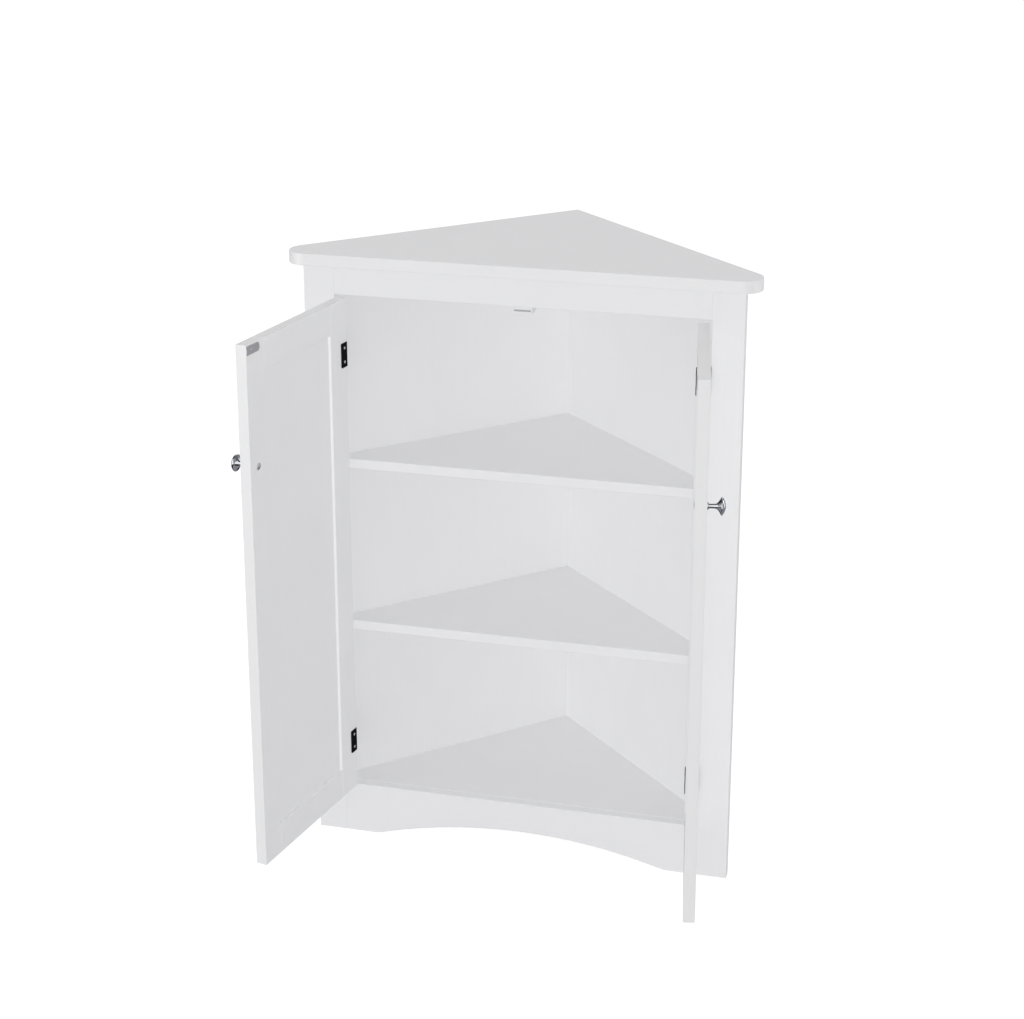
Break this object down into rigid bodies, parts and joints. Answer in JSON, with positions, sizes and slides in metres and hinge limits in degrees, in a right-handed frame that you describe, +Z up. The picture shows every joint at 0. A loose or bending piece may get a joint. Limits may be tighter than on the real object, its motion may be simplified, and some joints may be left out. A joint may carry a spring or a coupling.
{
  "type": "corner bathroom cabinet",
  "caption": "Freestanding triangular corner cabinet with hinged framed doors, inner shelves, chrome knobs, a magnetic catch and an arched base rail.",
  "frame": {"origin": "on the floor below the middle of the box around the cabinet with its doors open as stored", "axes": "+Z up, -Y towards the front of the cabinet, +Y into the room's corner, +X to the right"},
  "size_m": [0.5932, 0.5504, 0.8],
  "materials": {
    "white_lacquer": "satin white lacquer",
    "hinge_black": "black",
    "chrome": "polished",
    "strike_steel": "zinc plated",
    "fastener_steel": "zinc plated",
    "catch_plastic": "white moulded",
    "magnet": "ground",
    "dowel_wood": "bare beech"
  },
  "bodies": {
    "cabinet": {"arched_rail": "white_lacquer", "bottom_panel": "white_lacquer", "cam_bolts": "fastener_steel", "cam_locks": "fastener_steel", "catch_housing": "catch_plastic", "catch_magnet": "magnet", "catch_screws": "fastener_steel", "corner_screws": "fastener_steel", "left_frame_leaf_screws": "fastener_steel", "left_lower_frame_leaf": "hinge_black", "left_lower_hinge_pin": "hinge_black", "left_side_panel": "white_lacquer", "left_stile": "white_lacquer", "left_upper_frame_leaf": "hinge_black", "left_upper_hinge_pin": "hinge_black", "lower_shelf": "white_lacquer", "lower_shelf_pins": "fastener_steel", "right_frame_leaf_screws": "fastener_steel", "right_lower_frame_leaf": "hinge_black", "right_lower_hinge_pin": "hinge_black", "right_side_panel": "white_lacquer", "right_stile": "white_lacquer", "right_upper_frame_leaf": "hinge_black", "right_upper_hinge_pin": "hinge_black", "top_panel": "white_lacquer", "top_rail": "white_lacquer", "upper_shelf": "white_lacquer", "upper_shelf_pins": "fastener_steel", "wood_dowels": "dowel_wood"},
    "left_door": {"left_door_bottom_rail": "white_lacquer", "left_door_hinge_stile": "white_lacquer", "left_door_leaf_screws": "fastener_steel", "left_door_lock_stile": "white_lacquer", "left_door_panel": "white_lacquer", "left_door_top_rail": "white_lacquer", "left_knob": "chrome", "left_knob_screw": "fastener_steel", "left_lower_door_leaf": "hinge_black", "left_strike_plate": "strike_steel", "left_strike_screw": "fastener_steel", "left_upper_door_leaf": "hinge_black"},
    "right_door": {"right_door_bottom_rail": "white_lacquer", "right_door_hinge_stile": "white_lacquer", "right_door_leaf_screws": "fastener_steel", "right_door_lock_stile": "white_lacquer", "right_door_panel": "white_lacquer", "right_door_top_rail": "white_lacquer", "right_knob": "chrome", "right_knob_screw": "fastener_steel", "right_lower_door_leaf": "hinge_black", "right_strike_plate": "strike_steel", "right_strike_screw": "fastener_steel", "right_upper_door_leaf": "hinge_black"}
  },
  "joints": [
    {"name": "left_door_hinge", "type": "hinge", "parent": "cabinet", "child": "left_door", "pos_m": [-0.23672, -0.04023, 0.4], "axis": [0, 0, 1], "range_deg": [-35, 100]},
    {"name": "right_door_hinge", "type": "hinge", "parent": "cabinet", "child": "right_door", "pos_m": [0.23672, -0.04023, 0.4], "axis": [0, 0, 1], "range_deg": [-100, 35]}
  ]
}
